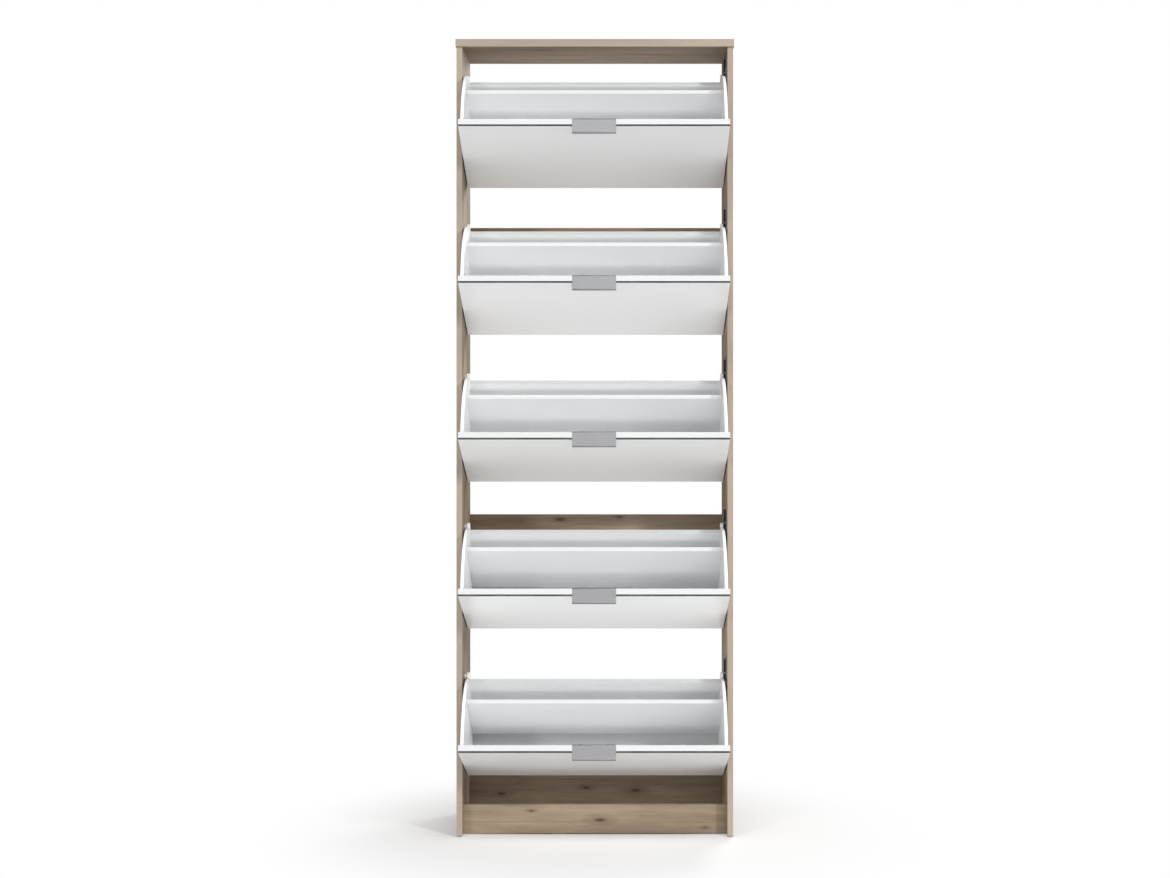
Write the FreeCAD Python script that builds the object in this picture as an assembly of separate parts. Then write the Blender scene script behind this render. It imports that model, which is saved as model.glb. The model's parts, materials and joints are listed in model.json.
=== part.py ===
"""Tall shoe cabinet with five tilting glass-fronted flaps, drawn with every flap open.

Millimetres. X runs across the front, Y from front to back, Z up from the floor.
The carcass is laid out from the front edges of its side panels (Y = 0).
A flap is laid out closed: depth is measured back from its glass face and height up from its
bottom edge. It is then turned about its pivot to the open position and lifted to its level.
At the end everything is moved so that the origin is the bottom centre of the whole object.
"""
import FreeCAD, Part
import math
import os

# Carcass
levels = 5
flap_pitch = 321.0
inner_width = 562.0
carcass_depth = 250.0
side_thickness = 12.0
top_thickness = 16.0
top_overhang_side = 2.0
top_overhang_front = 3.0
plinth_height = 63.0
plinth_thickness = 12.0
plinth_setback = 30.0
rail_height = 100.0
rail_thickness = 12.0
lower_rail_foot = 6.0
middle_rail_foot = 568.0
upper_rail_foot = 1207.0
wall_hole_radius = 3.0
wall_hole_spacing = 400.0

# Carcass fasteners and feet
dowel_radius = 3.0
dowel_in_panel = 8.0
dowel_in_edge = 18.0
screw_radius = 2.5
screw_head_radius = 4.5
screw_head_depth = 3.0
screw_in_edge = 30.0
rail_screw_offset = 30.0
plinth_screw_offset = 19.0
top_dowel_inset = 28.0
top_screw_inset = 64.0
glide_radius = 5.0
glide_thickness = 2.0
glide_peg_radius = 1.5
glide_peg_length = 10.0
glide_front_inset = 10.0
glide_rear_inset = 16.0

# Flap fronts
glass_thickness = 4.0
board_thickness = 12.0
glass_edge_inset = 1.5
front_side_gap = 2.0
front_top_gap = 2.0
swing_clearance = 2.5
pivot_depth = 54.0
pivot_height = 117.0
open_angle = 71.0

# Trays between the side plates
tray_board = 8.0
floor_foot = 14.0
divider_foot_depth = 88.0
divider_top_depth = 118.0
divider_top_height = 224.0
rear_floor_foot = 58.0
rear_wall_foot_depth = 150.0
rear_wall_top_depth = 177.0
rear_wall_top_height = 143.0

# Side plates
plate_thickness = 6.0
plate_to_panel = 6.0
plate_margin = 4.0
plate_top_below_edge = 10.0
plate_crown_depth = 118.0
plate_crown_height = 268.0
lug_radius = 10.0
lug_depth = 189.0
lug_height = 148.7
stud_radius = 6.5
stud_to_panel = 0.6
stud_dimple_radius = 2.5
stud_dimple_depth = 1.5

# Pivots
pin_radius = 4.0
pin_running_clearance = 0.05
pin_in_panel = 9.0
collar_radius = 7.5
collar_gap = 0.5

# Handles
handle_width = 90.0
handle_thickness = 1.8
handle_reach = 15.5
handle_lip = 4.0
handle_leg = 14.0
handle_recess_clearance = 0.2

# Open stops on the right-hand panel, measured from the stud's open position
stop_clearance = 0.4
stop_side_clearance = 0.6
stop_plate_thickness = 1.5
stop_plate_depth = 22.0
stop_plate_below = 10.0
stop_plate_above = 48.0
body_low = 17.0
body_high = 40.0
body_edge = 3.0
buffer_depth = 9.0
buffer_half_height = 7.0
stop_screw_low = 12.0
stop_screw_high = 44.0
stop_screw_radius = 1.6
stop_screw_head_radius = 3.0
stop_screw_head_depth = 1.6
stop_screw_in_panel = 9.0

# Tray screws
tray_screw_radius = 1.6
tray_screw_head_radius = 3.2
tray_screw_head_depth = 2.2
tray_screw_in_edge = 18.0
handle_screw_radius = 1.4
handle_screw_head_radius = 2.6
handle_screw_head_depth = 1.3
handle_screw_in_board = 9.0
handle_screw_spacing = 56.0

# Sizes that follow
half_inner = inner_width / 2
half_outer = half_inner + side_thickness
front_thickness = glass_thickness + board_thickness
half_front = half_inner - front_side_gap
plate_outer = half_inner - plate_to_panel
plate_inner = plate_outer - plate_thickness
floor_top = floor_foot + tray_board
rear_floor_top = rear_floor_foot + tray_board
swing_radius = max(
    math.hypot(pivot_height - glass_edge_inset, pivot_depth),
    math.hypot(pivot_height, pivot_depth - glass_thickness),
)


def swing_dip(depth):
    """How far a front's bottom edge drops below its closed level as it swings past a depth."""
    return math.sqrt(swing_radius**2 - (pivot_depth - depth) ** 2) - pivot_height


front_gap = swing_dip(front_thickness + handle_thickness) + swing_clearance
front_length = flap_pitch - front_gap
lowest_front = plinth_height + swing_dip(plinth_setback + plinth_thickness) + swing_clearance
side_top = lowest_front + levels * flap_pitch - front_gap + front_top_gap


def vec(x, y, z):
    return FreeCAD.Vector(x, y, z)


def block(x_range, y_range, z_range):
    """A box from its low and high values along each axis."""
    size = [high - low for low, high in (x_range, y_range, z_range)]
    return Part.makeBox(*size, vec(x_range[0], y_range[0], z_range[0]))


def rod(radius, start, direction, length):
    return Part.makeCylinder(radius, length, vec(*start), vec(*direction))


def profile_prism(edges, low_x, high_x):
    """Extrude a closed outline drawn in the depth and height plane across the width."""
    face = Part.Face(Part.Wire(edges))
    solid = face.extrude(vec(high_x - low_x, 0, 0))
    solid.translate(vec(low_x, 0, 0))
    return solid


def polygon_edges(points):
    corners = [vec(0, depth, height) for depth, height in points]
    closed = corners + corners[:1]
    return [Part.LineSegment(a, b).toShape() for a, b in zip(closed, closed[1:])]


def polygon_prism(points, half_width):
    return profile_prism(polygon_edges(points), -half_width, half_width)


def mirrored(shape):
    """The same shape on the other side of the middle plane."""
    return shape.mirror(vec(0, 0, 0), vec(1, 0, 0))


def both_sides(shapes):
    return [side for shape in shapes for side in (shape, mirrored(shape))]


def drilled(board, fasteners):
    """A board with a close hole for each fastener that enters it."""
    reach = board.BoundBox
    near = [item for item in fasteners if item.BoundBox.intersect(reach)]
    return board.cut(near) if near else board


# Carcass fasteners

def headed_screw(start, direction, length, radius, head_radius, head_depth):
    """A screw from its head's outer face, with a flat head let in flush."""
    head = rod(head_radius, start, direction, head_depth)
    shank = rod(radius, start, direction, length)
    return head.fuse(shank).removeSplitter()


def cross_screw(depth, height):
    """A screw through the right-hand panel into the end of a rail or the plinth."""
    length = side_thickness + screw_in_edge
    return headed_screw((half_outer, depth, height), (-1, 0, 0), length,
                        screw_radius, screw_head_radius, screw_head_depth)


def cross_dowel(depth, height):
    start = (half_inner + dowel_in_panel, depth, height)
    return rod(dowel_radius, start, (-1, 0, 0), dowel_in_panel + dowel_in_edge)


def rail_depth():
    return carcass_depth - rail_thickness / 2


def make_carcass_screws():
    right = []
    for foot in (lower_rail_foot, middle_rail_foot, upper_rail_foot):
        middle = foot + rail_height / 2
        right += [cross_screw(rail_depth(), middle + step) for step in (-rail_screw_offset, rail_screw_offset)]
    plinth_middle = (plinth_height + glide_thickness) / 2
    plinth_centre = plinth_setback + plinth_thickness / 2
    right += [cross_screw(plinth_centre, plinth_middle + step)
              for step in (-plinth_screw_offset, plinth_screw_offset)]
    for depth in (top_screw_inset, carcass_depth - top_screw_inset):
        start = (half_inner + side_thickness / 2, depth, side_top + top_thickness)
        right.append(headed_screw(start, (0, 0, -1), top_thickness + screw_in_edge,
                                  screw_radius, screw_head_radius, screw_head_depth))
    return both_sides(right)


def make_carcass_dowels():
    right = []
    for foot in (lower_rail_foot, middle_rail_foot, upper_rail_foot):
        right.append(cross_dowel(rail_depth(), foot + rail_height / 2))
    right.append(cross_dowel(plinth_setback + plinth_thickness / 2, (plinth_height + glide_thickness) / 2))
    for depth in (top_dowel_inset, carcass_depth - top_dowel_inset):
        start = (half_inner + side_thickness / 2, depth, side_top + dowel_in_panel)
        right.append(rod(dowel_radius, start, (0, 0, -1), dowel_in_panel + dowel_in_edge))
    return both_sides(right)


def make_foot_glides():
    right = []
    for depth in (glide_front_inset, carcass_depth - glide_rear_inset):
        centre = (half_inner + side_thickness / 2, depth, 0)
        disc = rod(glide_radius, centre, (0, 0, 1), glide_thickness)
        peg = rod(glide_peg_radius, centre, (0, 0, 1), glide_thickness + glide_peg_length)
        right.append(disc.fuse(peg).removeSplitter())
    return both_sides(right)


# Pivots and open stops, all fixed to the side panels

def make_pivot_pins():
    right = []
    for level in range(levels):
        height = lowest_front + level * flap_pitch + pivot_height
        start = (plate_inner, pivot_depth, height)
        pin = rod(pin_radius, start, (1, 0, 0), half_inner + pin_in_panel - plate_inner)
        collar_start = (plate_outer + collar_gap, pivot_depth, height)
        collar = rod(collar_radius, collar_start, (1, 0, 0), plate_to_panel - collar_gap)
        right.append(pin.fuse(collar).removeSplitter())
    return both_sides(right)


def stud_open_place(level):
    """Depth and height of the stop stud's centre with the flap fully open."""
    turn = math.radians(open_angle)
    back = lug_depth - pivot_depth
    up = lug_height - pivot_height
    depth = pivot_depth + back * math.cos(turn) - up * math.sin(turn)
    height = pivot_height + back * math.sin(turn) + up * math.cos(turn)
    return depth, lowest_front + level * flap_pitch + height


def stop_plate_range():
    """How far in front of the stud's centre the stop plate starts and ends."""
    rear = stud_radius + stop_clearance
    return rear, rear + stop_plate_depth


def make_stop_bracket(level):
    depth, height = stud_open_place(level)
    rear, front = stop_plate_range()
    return block((half_inner - stop_plate_thickness, half_inner), (depth - front, depth - rear),
                 (height - stop_plate_below, height + stop_plate_above))


def stop_inner_face():
    return plate_outer + stop_side_clearance


def make_stop_body(level):
    """The black stop: a body on the plate with a buffer nib that the stud comes to rest against."""
    depth, height = stud_open_place(level)
    rear, front = stop_plate_range()
    sides = (stop_inner_face(), half_inner - stop_plate_thickness)
    body = block(sides, (depth - front + body_edge, depth - rear - body_edge), (height + body_low, height + body_high))
    nib = block(sides, (depth - rear - buffer_depth, depth - rear),
                (height - buffer_half_height, height + buffer_half_height))
    spine = block(sides, (depth - rear - buffer_depth, depth - rear - body_edge),
                  (height + buffer_half_height, height + body_low))
    return body.fuse([nib, spine]).removeSplitter()


def make_stop_screws(level):
    depth, height = stud_open_place(level)
    rear, front = stop_plate_range()
    centre = depth - front + stop_screw_head_radius + body_edge
    head_face = half_inner - stop_plate_thickness - stop_screw_head_depth
    length = stop_screw_head_depth + stop_plate_thickness + stop_screw_in_panel
    return [headed_screw((head_face, centre, height + rise), (1, 0, 0), length,
                         stop_screw_radius, stop_screw_head_radius, stop_screw_head_depth)
            for rise in (stop_screw_low, stop_screw_high)]


# Carcass boards

def make_side_panel(fasteners):
    """The right-hand side panel, drilled for everything that is fixed in it."""
    board = block((half_inner, half_outer), (0, carcass_depth), (glide_thickness, side_top))
    return drilled(board, fasteners)


def make_top_panel(fasteners):
    half = half_outer + top_overhang_side
    board = block((-half, half), (-top_overhang_front, carcass_depth), (side_top, side_top + top_thickness))
    return drilled(board, fasteners)


def make_plinth(fasteners):
    board = block((-half_inner, half_inner), (plinth_setback, plinth_setback + plinth_thickness),
                  (glide_thickness, plinth_height))
    return drilled(board, fasteners)


def make_back_rail(foot, fasteners):
    board = block((-half_inner, half_inner), (carcass_depth - rail_thickness, carcass_depth),
                  (foot, foot + rail_height))
    return drilled(board, fasteners)


def with_wall_holes(rail, foot):
    holes = [rod(wall_hole_radius, (side * wall_hole_spacing / 2, carcass_depth - rail_thickness,
                                    foot + rail_height / 2), (0, 1, 0), rail_thickness)
             for side in (-1, 1)]
    return rail.cut(holes)


# Flap pieces, drawn closed

def handle_notch():
    """The shallow recess in a front's top edge that lets the handle sit flush."""
    half = handle_width / 2 + handle_recess_clearance
    return block((-half, half), (0, front_thickness), (front_length - handle_thickness, front_length))


def make_front_board(fasteners):
    board = block((-half_front, half_front), (glass_thickness, front_thickness), (0, front_length))
    return drilled(board.cut(handle_notch()), fasteners)


def make_front_glass():
    glass = block((-half_front, half_front), (0, glass_thickness), (glass_edge_inset, front_length))
    return glass.cut(handle_notch())


def make_handle(fasteners):
    half = handle_width / 2
    rear = front_thickness + handle_thickness
    plate = block((-half, half), (-handle_reach, rear), (front_length - handle_thickness, front_length))
    lip = block((-half, half), (-handle_reach, handle_thickness - handle_reach),
                (front_length - handle_lip, front_length))
    leg = block((-half, half), (front_thickness, rear), (front_length - handle_leg, front_length))
    return drilled(plate.fuse([lip, leg]).removeSplitter(), fasteners)


def divider_front(height):
    """Depth of the divider's front face at a height."""
    share = (height - floor_top) / (divider_top_height - floor_top)
    return divider_foot_depth + share * (divider_top_depth - divider_foot_depth)


def level_thickness(run, rise):
    """Thickness of a leaning tray board measured level instead of square to its face."""
    return tray_board * math.hypot(run, rise) / rise


def divider_level_thickness():
    return level_thickness(divider_top_depth - divider_foot_depth, divider_top_height - floor_top)


def divider_rear(height):
    return divider_front(height) + divider_level_thickness()


def rear_wall_level_thickness():
    return level_thickness(rear_wall_top_depth - rear_wall_foot_depth, rear_wall_top_height - rear_floor_top)


def make_divider(fasteners):
    points = [(divider_front(floor_top), floor_top), (divider_rear(floor_top), floor_top),
              (divider_rear(divider_top_height), divider_top_height),
              (divider_front(divider_top_height), divider_top_height)]
    return drilled(polygon_prism(points, plate_inner), fasteners)


def make_rear_wall(fasteners):
    thick = rear_wall_level_thickness()
    points = [(rear_wall_foot_depth, rear_floor_top), (rear_wall_foot_depth + thick, rear_floor_top),
              (rear_wall_top_depth + thick, rear_wall_top_height), (rear_wall_top_depth, rear_wall_top_height)]
    return drilled(polygon_prism(points, plate_inner), fasteners)


def make_tray_floors(fasteners):
    """The floor of the front compartment and the raised floor of the rear one."""
    front = polygon_prism([(front_thickness, floor_foot), (divider_rear(floor_top), floor_foot),
                           (divider_rear(floor_top), floor_top), (front_thickness, floor_top)], plate_inner)
    rear_end = rear_wall_foot_depth + rear_wall_level_thickness()
    rear = polygon_prism([(divider_rear(rear_floor_foot), rear_floor_foot), (rear_end, rear_floor_foot),
                          (rear_end, rear_floor_top), (divider_rear(rear_floor_top), rear_floor_top)], plate_inner)
    return [drilled(front, fasteners), drilled(rear, fasteners)]


def plate_outline():
    """Side plate outline: straight below, one arc over the top, ending at the lug."""
    top_front = vec(0, front_thickness, front_length - plate_top_below_edge)
    crown = vec(0, plate_crown_depth, plate_crown_height)
    lug_side = vec(0, lug_depth - lug_radius / 2, lug_height + lug_radius / 2)
    rear_end = rear_wall_foot_depth + rear_wall_level_thickness() + plate_margin
    step_depth = divider_rear(floor_top) + plate_margin
    below = [(lug_depth + lug_radius / 2, lug_height - lug_radius / 2),
             (rear_end, rear_floor_foot - plate_margin),
             (step_depth + plate_margin, rear_floor_foot - plate_margin),
             (step_depth, floor_foot - plate_margin),
             (front_thickness, floor_foot - plate_margin)]
    corners = [lug_side] + [vec(0, depth, height) for depth, height in below] + [top_front]
    edges = [Part.Arc(top_front, crown, lug_side).toShape()]
    edges += [Part.LineSegment(a, b).toShape() for a, b in zip(corners, corners[1:])]
    return edges


def make_side_plate(fasteners):
    """The right-hand side plate with its lug, stop stud and pivot bore."""
    plate = profile_prism(plate_outline(), plate_inner, plate_outer)
    lug = rod(lug_radius, (plate_inner, lug_depth, lug_height), (1, 0, 0), plate_thickness)
    stud_length = plate_to_panel - stud_to_panel
    stud = rod(stud_radius, (plate_outer, lug_depth, lug_height), (1, 0, 0), stud_length)
    dimple = rod(stud_dimple_radius, (plate_inner, lug_depth, lug_height), (1, 0, 0), stud_dimple_depth)
    bore = rod(pin_radius + pin_running_clearance, (plate_inner, pivot_depth, pivot_height),
               (1, 0, 0), plate_thickness)
    solid = plate.fuse([lug, stud]).removeSplitter().cut([dimple, bore])
    return drilled(solid, fasteners)


def side_screw(depth, height):
    """A screw through the right-hand plate into the end of a tray board."""
    return headed_screw((plate_outer, depth, height), (-1, 0, 0), plate_thickness + tray_screw_in_edge,
                        tray_screw_radius, tray_screw_head_radius, tray_screw_head_depth)


def front_screw(height):
    """A screw through the front board, under the glass, into the edge of the right-hand plate."""
    centre = (plate_inner + plate_outer) / 2
    return headed_screw((centre, glass_thickness, height), (0, 1, 0), board_thickness + tray_screw_in_edge,
                        tray_screw_radius, tray_screw_head_radius, tray_screw_head_depth)


def make_plate_screws():
    divider_middle = divider_level_thickness() / 2
    divider_heights = (floor_top + tray_board, (floor_top + divider_top_height) / 2 + tray_board,
                       divider_top_height - tray_board)
    right = [side_screw(divider_front(height) + divider_middle, height) for height in divider_heights]
    right.append(side_screw((front_thickness + divider_foot_depth) / 2, floor_foot + tray_board / 2))
    rear_floor_middle = (divider_rear(rear_floor_top) + rear_wall_foot_depth) / 2
    right.append(side_screw(rear_floor_middle, rear_floor_foot + tray_board / 2))
    wall_middle = (rear_wall_foot_depth + rear_wall_top_depth + rear_wall_level_thickness()) / 2
    right.append(side_screw(wall_middle, (rear_floor_top + rear_wall_top_height) / 2))
    upper = front_length - plate_top_below_edge - 2 * tray_board
    lower = floor_top + 2 * tray_board
    right += [front_screw(height) for height in (lower, (lower + upper) / 2, upper)]
    return both_sides(right)


def make_handle_screws():
    start_depth = front_thickness + handle_thickness + handle_screw_head_depth
    height = front_length - (handle_leg + handle_thickness) / 2
    length = handle_screw_head_depth + handle_thickness + handle_screw_in_board
    return [headed_screw((side * handle_screw_spacing / 2, start_depth, height), (0, -1, 0), length,
                         handle_screw_radius, handle_screw_head_radius, handle_screw_head_depth)
            for side in (-1, 1)]


def make_flap():
    """Every piece of one flap, closed, by the end of its node's name."""
    plate_screws = make_plate_screws()
    screws = plate_screws + make_handle_screws()
    right_plate = make_side_plate(plate_screws)
    return {
        "front_board": make_front_board(screws),
        "front_glass": make_front_glass(),
        "handle": make_handle(screws),
        "side_plate_right": right_plate,
        "side_plate_left": mirrored(right_plate),
        "divider": make_divider(plate_screws),
        "rear_wall": make_rear_wall(plate_screws),
        "tray_floors": Part.makeCompound(make_tray_floors(plate_screws)),
        "screws": Part.makeCompound(screws),
    }


def opened(shape, level):
    """A flap piece turned open about the pivot and lifted to its level."""
    placed = shape.copy()
    placed.rotate(vec(0, pivot_depth, pivot_height), vec(1, 0, 0), open_angle)
    placed.translate(vec(0, 0, lowest_front + level * flap_pitch))
    return placed


def make_carcass():
    screws = make_carcass_screws()
    dowels = make_carcass_dowels()
    pins = make_pivot_pins()
    glides = make_foot_glides()
    stop_screws = [screw for level in range(levels) for screw in make_stop_screws(level)]
    joints = screws + dowels
    right_side = make_side_panel(joints + pins + glides + stop_screws)
    plain_side = make_side_panel(joints + pins + glides)
    upper_rail = make_back_rail(upper_rail_foot, joints)
    return {
        "side_panel_right": right_side,
        "side_panel_left": mirrored(plain_side),
        "top_panel": make_top_panel(joints),
        "plinth": make_plinth(joints),
        "back_rail_lower": make_back_rail(lower_rail_foot, joints),
        "back_rail_middle": make_back_rail(middle_rail_foot, joints),
        "back_rail_upper": with_wall_holes(upper_rail, upper_rail_foot),
        "carcass_screws": Part.makeCompound(screws),
        "carcass_dowels": Part.makeCompound(dowels),
        "pivot_pins": Part.makeCompound(pins),
        "foot_glides": Part.makeCompound(glides),
        "stop_brackets": Part.makeCompound([drilled(make_stop_bracket(level), stop_screws)
                                            for level in range(levels)]),
        "stop_buffers": Part.makeCompound([make_stop_body(level) for level in range(levels)]),
        "stop_screws": Part.makeCompound(stop_screws),
    }


def main():
    os.makedirs("parts", exist_ok=True)
    nodes = make_carcass()
    flap = make_flap()
    for level in range(levels):
        for piece, shape in flap.items():
            nodes[f"flap_{level + 1}_{piece}"] = opened(shape, level)
    whole = Part.makeCompound(list(nodes.values())).BoundBox
    to_origin = vec(-(whole.XMin + whole.XMax) / 2, -(whole.YMin + whole.YMax) / 2, -whole.ZMin)
    for name, shape in nodes.items():
        shape.translate(to_origin)
        shape.exportStep(f"parts/{name}.step")
    print(len(nodes), "nodes, overall", whole.XLength, whole.YLength, whole.ZLength, "shift", to_origin)


main()
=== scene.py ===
"""Looks of the tall shoe cabinet: oak-print boards, white trays, coated glass fronts and metal fittings.

Metres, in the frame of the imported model: X across the front, Y from front to back, Z up.
Each piece is a cleaned and eased copy of its CAD node, or is built to the node's size.
"""
import bmesh
import bpy
import json
import math
import numpy as np
from mathutils import Matrix, Vector


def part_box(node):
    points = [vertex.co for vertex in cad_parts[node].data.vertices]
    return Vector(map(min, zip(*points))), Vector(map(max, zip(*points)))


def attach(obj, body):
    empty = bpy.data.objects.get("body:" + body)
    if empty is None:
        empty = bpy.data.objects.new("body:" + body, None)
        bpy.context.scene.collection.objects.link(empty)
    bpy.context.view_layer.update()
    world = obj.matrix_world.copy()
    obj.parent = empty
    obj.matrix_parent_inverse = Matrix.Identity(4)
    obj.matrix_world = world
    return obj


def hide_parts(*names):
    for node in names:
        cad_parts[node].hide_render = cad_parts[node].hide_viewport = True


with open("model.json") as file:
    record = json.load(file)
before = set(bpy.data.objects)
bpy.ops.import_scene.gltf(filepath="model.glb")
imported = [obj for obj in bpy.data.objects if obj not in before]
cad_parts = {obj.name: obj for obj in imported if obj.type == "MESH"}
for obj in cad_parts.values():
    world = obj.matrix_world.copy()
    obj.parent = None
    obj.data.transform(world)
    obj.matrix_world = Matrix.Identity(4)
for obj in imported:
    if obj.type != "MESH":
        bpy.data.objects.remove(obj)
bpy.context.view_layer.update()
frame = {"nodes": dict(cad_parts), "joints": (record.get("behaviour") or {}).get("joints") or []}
joints = {joint["child"]: joint for joint in frame["joints"]}
flaps = sorted(joints)
flap_pieces = []
MM = 0.001

# Camera: level, a little right of centre, looking straight back.
camera_side = 0.04685
camera_height = 0.98228
camera_distance = 4.49929
camera_lens = 65.36
camera_shift = (-0.0273, -0.0559)
film_width = 36.0

# Softening of edges, in metres.
board_ease = 0.5 * MM
plate_ease = 0.8 * MM
glass_ease = 0.5 * MM
glass_squareness = 0.95  # faces turned less squarely to the front than this are the glass's edge
metal_ease = 0.25 * MM
rubber_ease = 0.45 * MM

# Copies of CAD meshes: doubles merged within one distance, faces joined within one angle, edges eased
# past another, and shading broken at the last.
merge_distance = 1e-6
flat_angle = math.radians(0.4)
hard_angle = math.radians(40)
shading_angle = math.radians(32)

# Faces larger than this are dead flat, so they are shaded flat; smaller ones are bends and eased edges.
broad_face = 300 * MM ** 2

# Bent aluminium handle.
handle_sheet = 1.8 * MM
handle_bend = 1.1 * MM
handle_lip = 4.0 * MM
bend_steps = 6

# Cross-headed screws, as shares of the head's radius.
head_depth = 0.55
recess_depth = 0.4
rim_bevel = 0.08
recess_arm = 1.25
recess_slit = 0.26
shank_point = 0.7  # a share of the shank's own radius
screw_sides = 28
spin_seed = 7
screw_end = 0.1 * MM  # points this near a screw's end belong to its end ring

# Oak print: knots this many times longer than wide, and its colours.
knot_stretch = 3.0
oak_pale = (0.440, 0.343, 0.240, 1.0)
oak_warm = (0.310, 0.227, 0.150, 1.0)
oak_grey = (0.255, 0.204, 0.159, 1.0)
oak_shade = (0.140, 0.094, 0.058, 1.0)
oak_bark = (0.045, 0.028, 0.018, 1.0)
oak_edge = (0.480, 0.410, 0.352, 1.0)

# Studio: sky and floor, with the distances from the cabinet over which the floor turns to white and
# the white dims as a light; then each light's place, aim, size, power, tint and what it lights.
sky_light = 0.20
floor_radius = 40.0
floor_sides = 96
floor_white_from = 0.10
floor_white_to = 0.75
floor_dim_from = 1.8
floor_dim_to = 3.6
aim = (0.0, 0.0, 0.85)
white = (1.0, 1.0, 1.0)
warm_white = (1.0, 0.99, 0.975)
lamp_white = (1.0, 0.99, 0.97)
studio_lights = [
    ("key", (5.0, -6.2, 4.4), aim, (0.8, 0.8), 330.0, warm_white, "all but glass"),
    ("left", (-3.8, -5.8, 3.0), aim, (0.9, 0.9), 100.0, warm_white, "all but glass"),
    ("fill", (0.6, -5.8, 7.8), aim, (7.0, 2.4), 420.0, white, "all but glass"),
    ("tray_fill", (0.6, -6.5, 0.30), aim, (5.0, 0.5), 185.0, white, "flaps"),
    ("back", (0.75, 1.15, 1.80), (-0.28, 0.1, 1.36), (0.6, 0.6), 17.0, lamp_white, "all but glass"),
]


# ---------------------------------------------------------------- finishes

class Number:
    """A shader value. Arithmetic on it adds Math nodes to its finish."""

    def __init__(self, finish, socket):
        self.finish = finish
        self.socket = socket

    def maths(self, operation, *values):
        node = self.finish.add("ShaderNodeMath", {"operation": operation}, dict(enumerate(values)))
        return Number(self.finish, node.outputs[0])

    def __add__(self, other):
        return self.maths("ADD", self, other)

    def __radd__(self, other):
        return self.maths("ADD", other, self)

    def __sub__(self, other):
        return self.maths("SUBTRACT", self, other)

    def __rsub__(self, other):
        return self.maths("SUBTRACT", other, self)

    def __mul__(self, other):
        return self.maths("MULTIPLY", self, other)

    def __rmul__(self, other):
        return self.maths("MULTIPLY", other, self)

    def __abs__(self):
        return self.maths("ABSOLUTE", self)

    def sine(self):
        return self.maths("SINE", self)

    def least(self, other):
        return self.maths("MINIMUM", self, other)

    def step(self, low, high):
        """0 below low, 1 above high, smooth between; falls instead if low is above high."""
        node = self.finish.add("ShaderNodeMapRange", {"interpolation_type": "SMOOTHSTEP"},
                               {"Value": self, "From Min": low, "From Max": high})
        return Number(self.finish, node.outputs[0])


class Finish:
    """A node-based material built around one Principled shader."""

    def __init__(self, name, **constants):
        self.material = bpy.data.materials.new(name)
        self.material.use_nodes = True
        self.tree = self.material.node_tree
        self.shader = self.tree.nodes["Principled BSDF"]
        self.place = self.add("ShaderNodeTexCoord").outputs["Object"]
        self.paint(**constants)

    def add(self, kind, settings=None, sockets=None):
        """One node: its settings are set first, then its sockets are given values or links."""
        node = self.tree.nodes.new(kind)
        for key, value in (settings or {}).items():
            setattr(node, key, value)
        for key, value in (sockets or {}).items():
            self.feed(node.inputs[key], value)
        return node

    def feed(self, socket, value):
        value = value.socket if isinstance(value, Number) else value
        if isinstance(value, bpy.types.NodeSocket):
            self.tree.links.new(value, socket)
        else:
            socket.default_value = value

    def paint(self, **sockets):
        for name, value in sockets.items():
            self.feed(self.shader.inputs[name.replace("_", " ")], value)

    def scaled(self, place, scale):
        return self.add("ShaderNodeVectorMath", {"operation": "MULTIPLY"}, {0: place, 1: scale}).outputs[0]

    def parts(self, place):
        node = self.add("ShaderNodeSeparateXYZ", None, {0: place})
        return [Number(self, socket) for socket in node.outputs]

    def noise(self, scale, detail=3.0, roughness=0.5):
        """Noise from 0 to 1 with so many features to the metre along each axis."""
        where = self.scaled(self.place, scale)
        node = self.add("ShaderNodeTexNoise", None, {"Vector": where, "Scale": 1.0, "Detail": detail,
                                                     "Roughness": roughness})
        return Number(self, node.outputs[0])

    def mix(self, amount, below, above):
        node = self.add("ShaderNodeMix", {"data_type": "RGBA"}, {0: amount, 6: below, 7: above})
        return node.outputs[2]

    def facing(self, direction):
        """How squarely the surface faces a direction in the object's own frame."""
        normal = self.add("ShaderNodeTexCoord").outputs["Normal"]
        node = self.add("ShaderNodeVectorMath", {"operation": "DOT_PRODUCT"}, {0: normal, 1: direction})
        return Number(self, node.outputs["Value"])

    def bump(self, height, depth, strength):
        """Relief from a 0 to 1 height, as deep as depth in metres."""
        node = self.add("ShaderNodeBump", None, {"Height": height, "Distance": depth, "Strength": strength})
        self.paint(Normal=node.outputs[0])


def colour(red, green, blue):
    return (red, green, blue, 1.0)


def knot_distance(finish, knots, along):
    """Distance to the nearest knot, in knot radii; knots are drawn out along the grain."""
    nearest = None
    for place, radius in knots:
        stretch = [1.0 / (radius * (knot_stretch if axis == along else 1.0)) for axis in range(3)]
        offset = finish.add("ShaderNodeVectorMath", {"operation": "SUBTRACT"}, {0: finish.place, 1: place})
        scaled = finish.scaled(offset.outputs[0], stretch)
        length = finish.add("ShaderNodeVectorMath", {"operation": "LENGTH"}, {0: scaled})
        distance = Number(finish, length.outputs["Value"])
        nearest = distance if nearest is None else nearest.least(distance)
    return nearest


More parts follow.
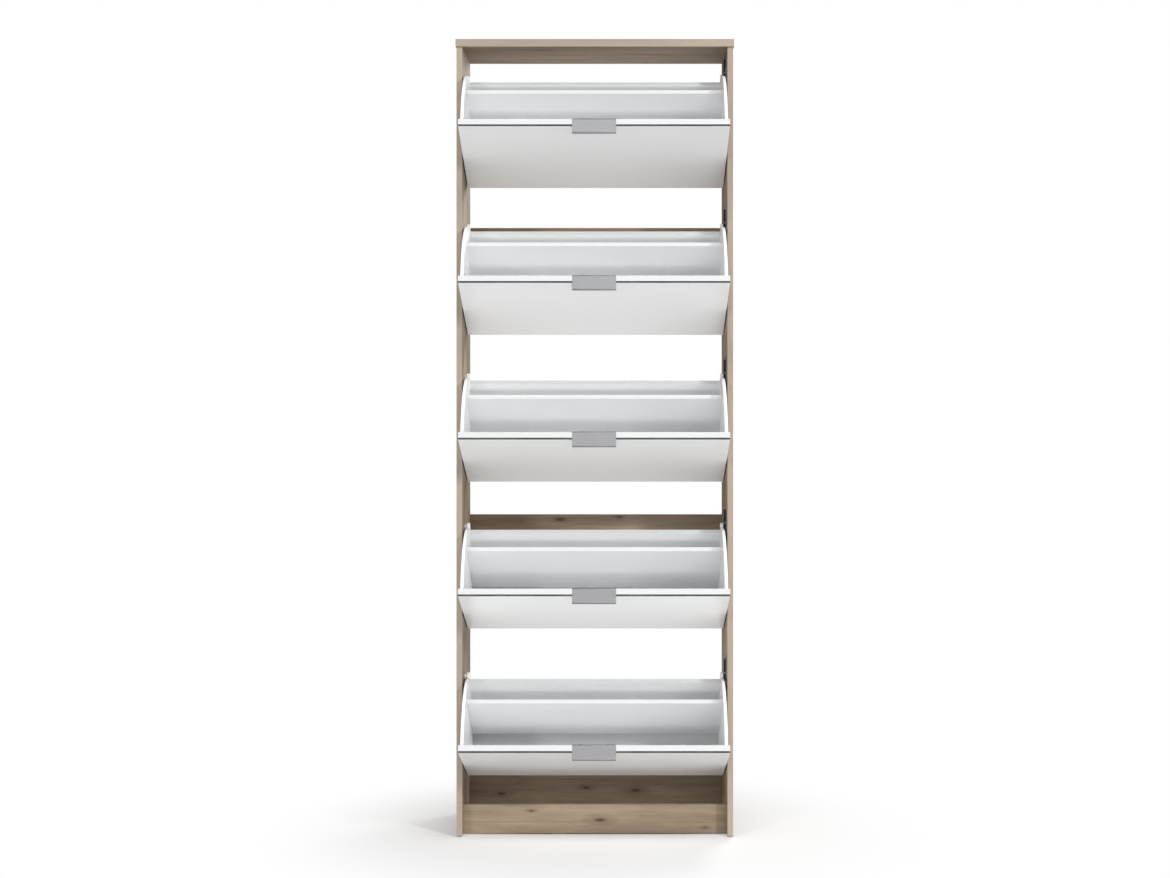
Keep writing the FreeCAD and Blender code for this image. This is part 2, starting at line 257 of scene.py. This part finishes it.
def oak_print(name, along, across, knots, front_band):
    """Oak-print foil. The grain runs along one axis and opens into arcs across another.

    front_band tints the edge band on the faces that look to the front and back.
    """
    finish = Finish(name, IOR=1.45)

    def stretched(with_grain, over_grain):
        return [with_grain if axis == along else over_grain for axis in range(3)]

    wander = finish.noise(stretched(1.3, 8.0), detail=2.0)
    ripple = finish.noise(stretched(9.0, 60.0), detail=3.0, roughness=0.6)
    ragged = finish.noise(stretched(45.0, 260.0), detail=3.0, roughness=0.7)
    distance = knot_distance(finish, knots, along) + 1.3 * (ripple - 0.5) + 1.3 * (ragged - 0.5)
    halo = distance.step(3.6, 0.7)
    core = distance.step(1.15, 0.25)

    position = finish.parts(finish.place)[across]
    rings = (position * 240.0 + wander * 46.0 + ripple * 4.0 + halo * 5.0).sine() * 0.5 + 0.5
    lines = rings.step(0.30, 1.0)
    cloud = finish.noise(stretched(1.7, 13.0), detail=4.0, roughness=0.6)
    drift = finish.noise(stretched(0.9, 22.0), detail=3.0, roughness=0.55)
    streak = finish.noise(stretched(4.0, 150.0), detail=4.0, roughness=0.65)
    fibre = finish.noise(stretched(18.0, 700.0), detail=3.0, roughness=0.7)
    fleck = finish.noise(stretched(26.0, 230.0), detail=2.0, roughness=0.5).step(0.70, 0.80)
    pore = finish.noise(stretched(70.0, 1700.0), detail=2.0, roughness=0.7).step(0.56, 0.74)

    tone = finish.mix(cloud.step(0.34, 0.66), oak_pale, oak_warm)
    tone = finish.mix(0.75 * drift.step(0.46, 0.70), tone, oak_grey)
    tone = finish.mix(0.34 * lines * cloud.step(0.30, 0.70), tone, oak_shade)
    tone = finish.mix(0.42 * streak.step(0.50, 0.80), tone, oak_shade)
    tone = finish.mix(0.30 * fibre.step(0.40, 0.75), tone, oak_shade)
    tone = finish.mix(0.38 * fleck, tone, oak_bark)
    tone = finish.mix(0.42 * halo, tone, oak_shade)
    tone = finish.mix(0.80 * core, tone, oak_bark)
    tone = finish.mix(0.30 * pore, tone, oak_shade)
    if front_band:
        edge = abs(finish.facing((0.0, 1.0, 0.0))).step(0.7, 0.95)
        tone = finish.mix(0.55 * edge, tone, oak_edge)
    finish.paint(Base_Color=tone, Roughness=0.50 + 0.14 * pore + 0.06 * streak)
    finish.bump(1.0 - 0.6 * pore - 0.25 * lines - 0.15 * fibre, 0.00012, 0.6)
    return finish.material


def white_melamine(shaded_edge_direction):
    """White faced board: satin, with a faint pearl. The edges that face the front when the flaps are open
    carry painted shade there: much darker and a little duller.
    """
    finish = Finish("white_melamine", IOR=1.5)
    cloud = finish.noise((5.0, 5.0, 5.0), detail=2.0)
    pearl = finish.noise((900.0, 900.0, 900.0), detail=2.0, roughness=0.6)
    # painted shade: faces turned to the given edge direction are mixed towards a much darker grey, so the
    # top edges stay darker under any light
    band = finish.facing(shaded_edge_direction).step(0.80, 0.92)
    tone = finish.mix(cloud.step(0.3, 0.7), colour(0.858, 0.872, 0.880), colour(0.880, 0.890, 0.895))
    tone = finish.mix(band, tone, colour(0.520, 0.531, 0.536))
    finish.paint(Base_Color=tone, Roughness=0.34 + 0.10 * pearl + 0.08 * band)
    finish.bump(pearl, 0.00006, 0.35)
    return finish.material


def white_moulding():
    """White moulded side plates: fine spark texture and slightly glossier than the boards."""
    finish = Finish("white_moulding", IOR=1.48)
    spark = finish.noise((1600.0, 1600.0, 1600.0), detail=3.0, roughness=0.65)
    flow = finish.noise((9.0, 9.0, 9.0), detail=2.0)
    tone = finish.mix(flow.step(0.3, 0.7), colour(0.830, 0.838, 0.842), colour(0.862, 0.866, 0.868))
    finish.paint(Base_Color=tone, Roughness=0.30 + 0.12 * spark)
    finish.bump(spark, 0.00005, 0.4)
    return finish.material


def coated_glass():
    """The flap fronts: clear glass with a pale coating behind it, so a pale face under a smooth gloss."""
    finish = Finish("coated_glass", IOR=1.5)
    cloud = finish.noise((3.0, 3.0, 3.0), detail=1.0)
    wipe = finish.noise((18.0, 60.0, 60.0), detail=3.0)
    tone = finish.mix(cloud.step(0.3, 0.7), colour(0.808, 0.811, 0.813), colour(0.826, 0.829, 0.831))
    finish.paint(Base_Color=tone, Roughness=0.24 + 0.04 * wipe)
    return finish.material


def glass_edge():
    """Ground and polished edge of the glass, where its green-grey body shows."""
    finish = Finish("glass_edge", IOR=1.52)
    grind = finish.noise((60.0, 1400.0, 1400.0), detail=2.0)
    depth = finish.noise((22.0, 22.0, 22.0), detail=2.0)
    tone = finish.mix(depth.step(0.3, 0.7), colour(0.085, 0.098, 0.094), colour(0.140, 0.155, 0.148))
    finish.paint(Base_Color=tone, Roughness=0.20 + 0.15 * grind)
    finish.bump(grind, 0.00004, 0.4)
    return finish.material


def brushed_aluminium():
    """Fine brushing along the handle's length, with a satin anodised sheen."""
    finish = Finish("brushed_aluminium", Metallic=1.0)
    hairs = finish.noise((26.0, 5200.0, 5200.0), detail=3.0, roughness=0.7)
    bands = finish.noise((9.0, 420.0, 420.0), detail=2.0)
    tone = finish.mix(hairs.step(0.25, 0.75), colour(0.185, 0.187, 0.194), colour(0.275, 0.277, 0.286))
    tone = finish.mix(0.35 * bands.step(0.4, 0.7), tone, colour(0.230, 0.232, 0.240))
    finish.paint(Base_Color=tone, Roughness=0.46 + 0.14 * hairs)
    finish.bump(hairs, 0.00004, 0.5)
    return finish.material


def zinc_plated(name, light):
    """Bright zinc on small steel fittings, a little mottled."""
    finish = Finish(name, Metallic=1.0)
    spangle = finish.noise((520.0, 520.0, 520.0), detail=3.0, roughness=0.6)
    film = finish.noise((90.0, 90.0, 90.0), detail=2.0)
    dark = [0.62 * part for part in light]
    tone = finish.mix(spangle.step(0.3, 0.7), colour(*dark), colour(*light))
    tone = finish.mix(0.2 * film.step(0.4, 0.7), tone, colour(0.50, 0.47, 0.38))
    finish.paint(Base_Color=tone, Roughness=0.26 + 0.16 * spangle)
    finish.bump(spangle, 0.00003, 0.4)
    return finish.material


def black_rubber():
    """Matt moulded rubber and plastic of the open stops."""
    finish = Finish("black_rubber", IOR=1.45)
    grain = finish.noise((2400.0, 2400.0, 2400.0), detail=2.0)
    dust = finish.noise((160.0, 160.0, 160.0), detail=3.0)
    tone = finish.mix(dust.step(0.45, 0.8), colour(0.012, 0.012, 0.013), colour(0.032, 0.032, 0.033))
    finish.paint(Base_Color=tone, Roughness=0.58 + 0.2 * grain)
    finish.bump(grain, 0.00006, 0.5)
    return finish.material


def beech_dowel():
    """Bare turned beech, with short dark flecks along the dowel."""
    finish = Finish("beech_dowel", IOR=1.45)
    fleck = finish.noise((90.0, 900.0, 900.0), detail=2.0)
    tone = finish.mix(fleck.step(0.45, 0.75), colour(0.58, 0.40, 0.23), colour(0.36, 0.21, 0.11))
    finish.paint(Base_Color=tone, Roughness=0.6 + 0.15 * fleck)
    finish.bump(fleck, 0.0001, 0.5)
    return finish.material


def glide_plastic():
    """Hard brown-grey plastic of the foot glides, with a scuffed mottle all over."""
    finish = Finish("glide_plastic", IOR=1.47)
    scuff = finish.noise((700.0, 300.0, 700.0), detail=3.0)
    tone = finish.mix(scuff.step(0.4, 0.7), colour(0.21, 0.17, 0.13), colour(0.33, 0.28, 0.22))
    finish.paint(Base_Color=tone, Roughness=0.42 + 0.25 * scuff)
    finish.bump(scuff, 0.00008, 0.5)
    return finish.material


def flap_turn(body):
    """The matrix that takes a flap's closed place to its open place at rest."""
    joint = joints[body]
    pivot = Vector(joint["pos_m"])
    angle = math.radians(joint["range_deg"][1])
    turn = Matrix.Rotation(-angle, 4, Vector(joint["axis"]))
    return Matrix.Translation(pivot) @ turn @ Matrix.Translation(-pivot)


# Knots as (place, radius): on the upright boards, then on the boards that lie across.
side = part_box("side_panel_right")[1].x
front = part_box("side_panel_right")[0].y
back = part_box("back_rail_lower")[0].y
plinth_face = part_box("plinth")[0].y
upright_knots = [
    ((-side, front + 0.170, 1.560), 0.0050),
    ((-side, front + 0.060, 1.245), 0.0035),
    ((-side, front + 0.190, 0.905), 0.0060),
    ((-side, front + 0.110, 0.505), 0.0045),
    ((-side, front + 0.003, 1.130), 0.0040),
    ((-side, front + 0.003, 0.780), 0.0050),
    ((side, front + 0.080, 1.400), 0.0055),
    ((side, front + 0.200, 1.050), 0.0040),
    ((side, front + 0.130, 0.700), 0.0065),
    ((side, front + 0.070, 0.240), 0.0045),
    ((side, front + 0.003, 1.020), 0.0045),
]
across_knots = [
    ((0.010, plinth_face, 0.031), 0.0048),
    ((-0.136, plinth_face, 0.050), 0.0020),
    ((0.235, plinth_face, 0.014), 0.0018),
    ((0.089, back, 0.053), 0.0048),
    ((-0.022, back, 0.059), 0.0030),
    ((-0.211, back, 0.046), 0.0040),
    ((-0.080, back, 0.657), 0.0036),
    ((0.052, back, 0.662), 0.0026),
    ((0.130, back + 0.012, 1.262), 0.0050),
    ((-0.190, back + 0.012, 0.610), 0.0045),
]
top_knots = [
    ((0.140, front + 0.110, 1.690), 0.0060),
    ((-0.120, front + 0.050, 1.674), 0.0040),
    ((-0.200, front + 0.180, 1.690), 0.0045),
]

# The way the boards' top edges face when open; the white board paints shade onto faces turned this way.
open_edge = flap_turn(flaps[0]).to_3x3() @ Vector((0.0, 0.0, 1.0))
finishes = {
    "oak_upright": oak_print("oak_upright", 2, 1, upright_knots, True),
    "oak_across": oak_print("oak_across", 0, 2, across_knots, False),
    "oak_top": oak_print("oak_top", 0, 1, top_knots, True),
    "white_board": white_melamine(open_edge),
    "white_plastic": white_moulding(),
    "coated_glass": coated_glass(),
    "glass_edge": glass_edge(),
    "brushed_aluminium": brushed_aluminium(),
    "steel": zinc_plated("bright_zinc", (0.66, 0.66, 0.67)),
    "zinc_plate": zinc_plated("pressed_zinc", (0.42, 0.43, 0.44)),
    "black_rubber": black_rubber(),
    "beech": beech_dowel(),
    "glide_plastic": glide_plastic(),
}


# ---------------------------------------------------------------- making pieces

def clean_copy(node):
    """A CAD node's mesh with its doubles merged and its flat triangles joined."""
    mesh = bmesh.new()
    mesh.from_mesh(frame["nodes"][node].data)
    bmesh.ops.remove_doubles(mesh, verts=mesh.verts, dist=merge_distance)
    bmesh.ops.dissolve_limit(mesh, angle_limit=flat_angle, verts=mesh.verts, edges=mesh.edges)
    return mesh


def ease_edges(mesh, width, segments=2):
    """Round every hard edge by a small width."""
    hard = [edge for edge in mesh.edges if edge.is_manifold and edge.calc_face_angle(0.0) > hard_angle]
    bmesh.ops.bevel(mesh, geom=hard, offset=width, offset_type="OFFSET", segments=segments,
                    profile=0.5, affect="EDGES", clamp_overlap=True)


def make_object(mesh, name, materials):
    data = bpy.data.meshes.new(name)
    mesh.to_mesh(data)
    mesh.free()
    for material in materials:
        data.materials.append(material)
    if data.has_custom_normals:
        data.attributes.remove(data.attributes["custom_normal"])
    data.set_sharp_from_angle(angle=shading_angle)
    data.polygons.foreach_set("use_smooth", [face.area < broad_face for face in data.polygons])
    piece = bpy.data.objects.new(name, data)
    bpy.context.scene.collection.objects.link(piece)
    return piece


def fit_piece(piece, body, node):
    """Ride the piece on its body and let it stand for its CAD node."""
    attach(piece, body)
    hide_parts(node)
    if body in flaps:
        flap_pieces.append(piece)


def eased_board(node, body, finish, width):
    mesh = clean_copy(node)
    ease_edges(mesh, width)
    piece = make_object(mesh, f"{node}.finished", [finishes[finish]])
    fit_piece(piece, body, node)


def closed_box(node, body):
    """Lowest and highest corner of a flap's node with the flap closed."""
    back_turn = flap_turn(body).inverted()
    corners = np.array([back_turn @ vertex.co for vertex in frame["nodes"][node].data.vertices])
    return Vector(corners.min(0)), Vector(corners.max(0))


# ---------------------------------------------------------------- carcass

def make_carcass():
    for node in ("side_panel_left", "side_panel_right"):
        eased_board(node, "carcass", "oak_upright", board_ease)
    for node in ("plinth", "back_rail_lower", "back_rail_middle", "back_rail_upper"):
        eased_board(node, "carcass", "oak_across", board_ease)
    eased_board("top_panel", "carcass", "oak_top", board_ease)
    eased_board("foot_glides", "carcass", "glide_plastic", metal_ease)
    eased_board("pivot_pins", "carcass", "steel", metal_ease)
    eased_board("carcass_dowels", "carcass", "beech", metal_ease)
    eased_board("stop_brackets", "carcass", "zinc_plate", metal_ease)


def make_stop_buffers():
    """Black stops with softly rounded edges."""
    mesh = clean_copy("stop_buffers")
    ease_edges(mesh, rubber_ease, 3)
    piece = make_object(mesh, "stop_buffers.finished", [finishes["black_rubber"]])
    fit_piece(piece, "carcass", "stop_buffers")


# ---------------------------------------------------------------- flaps

def make_front_glass(body):
    """The glass front: coated face and back, darker ground edges all round."""
    node = f"{body}_front_glass"
    mesh = clean_copy(node)
    ease_edges(mesh, glass_ease)
    face = flap_turn(body).to_3x3() @ Vector((0, -1, 0))
    for polygon in mesh.faces:
        polygon.normal_update()
        polygon.material_index = 0 if abs(polygon.normal.dot(face)) > glass_squareness else 1
    piece = make_object(mesh, f"{node}.finished", [finishes["coated_glass"], finishes["glass_edge"]])
    fit_piece(piece, body, node)


def bent_strip(points, radius, thickness):
    """Outline of a sheet of even thickness that follows points with rounded bends, in a plane."""
    line = [Vector(points[0])]
    for before, corner, after in zip(points, points[1:], points[2:]):
        corner = Vector(corner)
        way_in = (Vector(before) - corner).normalized()
        way_out = (Vector(after) - corner).normalized()
        half = way_in.angle(way_out) / 2
        reach = radius / math.tan(half)
        centre = corner + (way_in + way_out).normalized() * (radius / math.sin(half))
        start = corner + way_in * reach - centre
        end = corner + way_out * reach - centre
        for step in range(bend_steps + 1):
            share = step / bend_steps
            line.append(centre + start.slerp(end, share) * start.length)
    line.append(Vector(points[-1]))
    sides = [[], []]
    for index, point in enumerate(line):
        ahead = line[min(index + 1, len(line) - 1)] - line[max(index - 1, 0)]
        square = Vector((-ahead.y, ahead.x)).normalized() * thickness / 2
        sides[0].append(point + square)
        sides[1].append(point - square)
    return sides[0] + sides[1][::-1]


def make_handle(body):
    """Edge pull bent from one strip: front lip, plate over the top edge and rear leg."""
    node = f"{body}_handle"
    low, high = closed_box(node, body)
    half = handle_sheet / 2
    top = high.z - half
    lip_foot = high.z - handle_lip
    route = [(low.y + half, lip_foot), (low.y + half, top), (high.y - half, top), (high.y - half, low.z)]
    outline = bent_strip(route, handle_bend + half, handle_sheet)
    mesh = bmesh.new()
    ring = [mesh.verts.new((low.x, depth, height)) for depth, height in outline]
    count = len(outline) // 2
    strip = [mesh.faces.new((ring[i], ring[i + 1], ring[-2 - i], ring[-1 - i])) for i in range(count - 1)]
    pushed = bmesh.ops.extrude_face_region(mesh, geom=strip)
    moved = [item for item in pushed["geom"] if isinstance(item, bmesh.types.BMVert)]
    bmesh.ops.translate(mesh, verts=moved, vec=(high.x - low.x, 0, 0))
    bmesh.ops.recalc_face_normals(mesh, faces=mesh.faces)
    ease_edges(mesh, metal_ease)
    mesh.transform(flap_turn(body))
    piece = make_object(mesh, f"{node}.finished", [finishes["brushed_aluminium"]])
    fit_piece(piece, body, node)


def make_flap(body):
    make_front_glass(body)
    make_handle(body)
    for name in ("front_board", "divider", "rear_wall", "tray_floors"):
        eased_board(f"{body}_{name}", body, "white_board", board_ease)
    for name in ("side_plate_left", "side_plate_right"):
        eased_board(f"{body}_{name}", body, "white_plastic", plate_ease)


# ---------------------------------------------------------------- screws

def screw_places(node):
    """The place, direction and sizes of each separate screw in a CAD node.

    They come from a set of vertices, so their order, and with it each screw's turn, is not fixed.
    """
    mesh = bmesh.new()
    mesh.from_mesh(frame["nodes"][node].data)
    bmesh.ops.remove_doubles(mesh, verts=mesh.verts, dist=merge_distance)
    left = set(mesh.verts)
    found = []
    while left:
        island = set()
        waiting = [left.pop()]
        while waiting:
            vertex = waiting.pop()
            island.add(vertex)
            for edge in vertex.link_edges:
                other = edge.other_vert(vertex)
                if other in left:
                    left.discard(other)
                    waiting.append(other)
        points = np.array([vertex.co for vertex in island])
        found.append(measure_screw(points))
    mesh.free()
    return found


def measure_screw(points):
    """Place, direction and sizes of one screw from the points of its solid."""
    spread = np.linalg.svd(points - points.mean(0), full_matrices=False)[2][0]
    along = points @ spread
    low, high = float(along.min()), float(along.max())
    ends = [points[np.abs(along - reach) < screw_end] for reach in (low, high)]
    centres = [end.mean(0) for end in ends]
    radii = [float(np.linalg.norm(end - centre, axis=1).max()) for end, centre in zip(ends, centres)]
    head = int(radii[1] > radii[0])
    return {
        "place": Vector(centres[head]),
        "outward": Vector(spread * (1.0 if head else -1.0)),
        "head": round(radii[head], 4),
        "shank": round(radii[1 - head], 4),
        "length": round(high - low, 4),
    }


def link_nodes(tree, kind, settings=None, sockets=None):
    """One geometry node with its settings, values and links."""
    node = tree.nodes.new(kind)
    for key, value in (settings or {}).items():
        setattr(node, key, value)
    for key, value in (sockets or {}).items():
        if isinstance(value, bpy.types.NodeSocket):
            tree.links.new(value, node.inputs[key])
        else:
            node.inputs[key].default_value = value
    return node


def screw_tree(material):
    """Geometry nodes: a cross-headed screw on every point, facing along its outward attribute.

    The cross is laid out as a recess, but the Boolean nodes are not reliable here. On many screws it
    stands proud of the head by the recess depth, and the shank is dropped. Which screws come out
    right can change from run to run.
    """
    tree = bpy.data.node_groups.new("cross_recess_screws", "GeometryNodeTree")
    tree.interface.new_socket("Points", in_out="INPUT", socket_type="NodeSocketGeometry")
    for name in ("Head Radius", "Head Depth", "Shank Radius", "Length", "Recess Depth"):
        tree.interface.new_socket(name, in_out="INPUT", socket_type="NodeSocketFloat")
    tree.interface.new_socket("Screws", in_out="OUTPUT", socket_type="NodeSocketGeometry")
    given = tree.nodes.new("NodeGroupInput").outputs

    def maths(operation, first, second):
        return link_nodes(tree, "ShaderNodeMath", {"operation": operation}, {0: first, 1: second}).outputs[0]

    def vector(x, y, z):
        return link_nodes(tree, "ShaderNodeCombineXYZ", None, {0: x, 1: y, 2: z}).outputs[0]

    def moved(geometry, height):
        node = link_nodes(tree, "GeometryNodeTransform", None,
                          {"Geometry": geometry, "Translation": vector(0.0, 0.0, height)})
        return node.outputs[0]

    def cone(top, bottom, depth):
        return link_nodes(tree, "GeometryNodeMeshCone", {"fill_type": "NGON"},
                          {"Vertices": screw_sides, "Radius Top": top, "Radius Bottom": bottom,
                           "Depth": depth}).outputs[0]

    bevel = maths("MULTIPLY", given["Head Radius"], rim_bevel)
    rim = maths("SUBTRACT", given["Head Radius"], bevel)
    skirt_depth = maths("SUBTRACT", given["Head Depth"], bevel)
    skirt = moved(cone(given["Head Radius"], given["Shank Radius"], skirt_depth),
                  maths("MULTIPLY", given["Head Depth"], -1.0))
    crown = moved(cone(rim, given["Head Radius"], bevel), maths("MULTIPLY", bevel, -1.0))
    point = maths("MULTIPLY", given["Shank Radius"], shank_point)
    shank = moved(cone(given["Shank Radius"], point, given["Length"]),
                  maths("MULTIPLY", given["Length"], -1.0))
    solid = link_nodes(tree, "GeometryNodeMeshBoolean", {"operation": "UNION"})
    for part in (skirt, crown, shank):
        tree.links.new(part, solid.inputs["Mesh 2"])
    arm = maths("MULTIPLY", given["Head Radius"], recess_arm)
    slit = maths("MULTIPLY", given["Head Radius"], recess_slit)
    deep = maths("MULTIPLY", given["Recess Depth"], 2.0)
    bars = [link_nodes(tree, "GeometryNodeMeshCube", None, {"Size": vector(*size)}).outputs[0]
            for size in ((arm, slit, deep), (slit, arm, deep))]
    recess = link_nodes(tree, "GeometryNodeMeshBoolean", {"operation": "DIFFERENCE"},
                        {"Mesh 1": solid.outputs[0]})
    for bar in bars:
        tree.links.new(bar, recess.inputs["Mesh 2"])
    outward = link_nodes(tree, "GeometryNodeInputNamedAttribute", {"data_type": "FLOAT_VECTOR"},
                         {"Name": "outward"})
    facing = link_nodes(tree, "FunctionNodeAlignRotationToVector", {"axis": "Z"},
                        {"Vector": outward.outputs[0]})
    spin = link_nodes(tree, "FunctionNodeRandomValue", {"data_type": "FLOAT"},
                      {"Min": 0.0, "Max": math.pi / 2, "Seed": spin_seed})
    spin_value = [socket for socket in spin.outputs if socket.enabled][0]
    twist = link_nodes(tree, "FunctionNodeAxisAngleToRotation", None,
                       {"Axis": (0.0, 0.0, 1.0), "Angle": spin_value})
    turned = link_nodes(tree, "FunctionNodeRotateRotation", {"rotation_space": "LOCAL"},
                        {0: facing.outputs[0], 1: twist.outputs[0]})
    placed = link_nodes(tree, "GeometryNodeInstanceOnPoints", None,
                        {"Points": given["Points"], "Instance": recess.outputs[0],
                         "Rotation": turned.outputs[0]})
    real = link_nodes(tree, "GeometryNodeRealizeInstances", None, {"Geometry": placed.outputs[0]})
    dressed = link_nodes(tree, "GeometryNodeSetMaterial", None,
                         {"Geometry": real.outputs[0], "Material": material})
    link_nodes(tree, "NodeGroupOutput", None, {0: dressed.outputs[0]})
    return tree


def make_screws(node, body, tree):
    """Replace a CAD node of plain screws by cross-headed ones, a piece for each size of screw."""
    sizes = {}
    for screw in screw_places(node):
        sizes.setdefault((screw["head"], screw["shank"], screw["length"]), []).append(screw)
    for number, (size, screws) in enumerate(sorted(sizes.items()), 1):
        head, shank, length = size
        points = bpy.data.meshes.new("screw_points")
        points.from_pydata([screw["place"] for screw in screws], [], [])
        outward = points.attributes.new("outward", "FLOAT_VECTOR", "POINT")
        outward.data.foreach_set("vector", [part for screw in screws for part in screw["outward"]])
        holder = bpy.data.objects.new("screw_points", points)
        bpy.context.scene.collection.objects.link(holder)
        maker = holder.modifiers.new("screws", "NODES")
        maker.node_group = tree
        values = {"Head Radius": head, "Head Depth": head_depth * head, "Shank Radius": shank,
                  "Length": length, "Recess Depth": recess_depth * head}
        for item in tree.interface.items_tree:
            if item.in_out == "INPUT" and item.name in values:
                maker[item.identifier] = values[item.name]
        bpy.context.view_layer.update()
        made = holder.evaluated_get(bpy.context.evaluated_depsgraph_get())
        data = bpy.data.meshes.new_from_object(made)
        bpy.data.objects.remove(holder)
        piece = bpy.data.objects.new(f"{node}.size_{number}", data)
        bpy.context.scene.collection.objects.link(piece)
        fit_piece(piece, body, node)


# ---------------------------------------------------------------- camera, light and floor

def make_camera():
    data = bpy.data.cameras.new("front_view")
    data.sensor_width = film_width
    data.lens = camera_lens
    data.shift_x, data.shift_y = camera_shift
    camera = bpy.data.objects.new("front_view", data)
    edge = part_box("side_panel_left")[0].y
    camera.location = (camera_side, edge - camera_distance, camera_height)
    camera.rotation_euler = (math.pi / 2, 0, 0)
    bpy.context.scene.collection.objects.link(camera)
    bpy.context.scene.camera = camera


def light_only_flaps(light):
    """Keep a light off everything but the flaps."""
    lit = bpy.data.collections.new("lit_flap_pieces")
    for piece in flap_pieces:
        lit.objects.link(piece)
    light.light_linking.receiver_collection = lit


def light_all_but_glass(light):
    """Keep a light off the glass fronts, so that they hold a tone when they are closed."""
    unlit = bpy.data.collections.new(f"{light.name}_unlit_glass")
    for piece in flap_pieces:
        if "front_glass" in piece.name:
            unlit.objects.link(piece)
    for entry in unlit.collection_objects:
        entry.light_linking.link_state = "EXCLUDE"
    light.light_linking.receiver_collection = unlit


def soft_light(name, place, target, size, watts, tint, lights_up):
    data = bpy.data.lights.new(name, "AREA")
    data.shape = "RECTANGLE"
    data.size, data.size_y = size
    data.energy = watts
    data.color = tint
    light = bpy.data.objects.new(name, data)
    light.location = place
    light.rotation_euler = (Vector(target) - Vector(place)).to_track_quat("-Z", "Y").to_euler()
    light.visible_camera = False
    bpy.context.scene.collection.objects.link(light)
    if lights_up == "flaps":
        light_only_flaps(light)
    else:
        light_all_but_glass(light)


def make_sky():
    """White all round: full white where it is looked at, weaker as a light."""
    world = bpy.data.worlds.new("studio")
    bpy.context.scene.world = world
    world.use_nodes = True
    tree = world.node_tree
    sky = tree.nodes["Background"]
    sky.inputs["Color"].default_value = colour(1.0, 1.0, 1.0)
    looked_at = tree.nodes.new("ShaderNodeLightPath").outputs["Is Camera Ray"]
    strength = tree.nodes.new("ShaderNodeMapRange")
    tree.links.new(looked_at, strength.inputs["Value"])
    strength.inputs["To Min"].default_value = sky_light
    strength.inputs["To Max"].default_value = 1.0
    tree.links.new(strength.outputs[0], sky.inputs["Strength"])


def make_floor():
    """Pale floor that brightens to white away from the cabinet."""
    mesh = bmesh.new()
    bmesh.ops.create_circle(mesh, cap_ends=True, segments=floor_sides, radius=floor_radius)
    finish = Finish("pale_floor", Roughness=0.8, Specular_IOR_Level=0.1)
    speck = finish.noise((3.0, 3.0, 3.0), detail=2.0)
    length = finish.add("ShaderNodeVectorMath", {"operation": "LENGTH"}, {0: finish.place})
    far = Number(finish, length.outputs["Value"]).step(floor_white_from, floor_white_to)
    finish.paint(Base_Color=finish.mix(speck, colour(0.86, 0.86, 0.86), colour(0.88, 0.88, 0.88)))
    unseen = 1.0 - Number(finish, finish.add("ShaderNodeLightPath").outputs["Is Camera Ray"])
    dim = Number(finish, length.outputs["Value"]).step(floor_dim_from, floor_dim_to) * unseen
    shine = finish.mix(dim, colour(1.0, 1.0, 1.0), colour(sky_light, sky_light, sky_light))
    glow = finish.add("ShaderNodeEmission", None, {"Color": shine, "Strength": 1.0})
    blend = finish.add("ShaderNodeMixShader", None,
                       {0: far, 1: finish.shader.outputs[0], 2: glow.outputs[0]})
    finish.tree.links.new(blend.outputs[0], finish.tree.nodes["Material Output"].inputs["Surface"])
    floor = make_object(mesh, "floor", [finish.material])


def make_studio():
    make_sky()
    make_floor()
    for light in studio_lights:
        soft_light(*light)


make_camera()
make_carcass()
make_stop_buffers()
for flap in flaps:
    make_flap(flap)
steel_screws = screw_tree(finishes["steel"])
for screw_node in ("carcass_screws", "stop_screws"):
    make_screws(screw_node, "carcass", steel_screws)
for flap in flaps:
    make_screws(f"{flap}_screws", flap, steel_screws)
make_studio()
bpy.context.scene.view_settings.view_transform = "Standard"
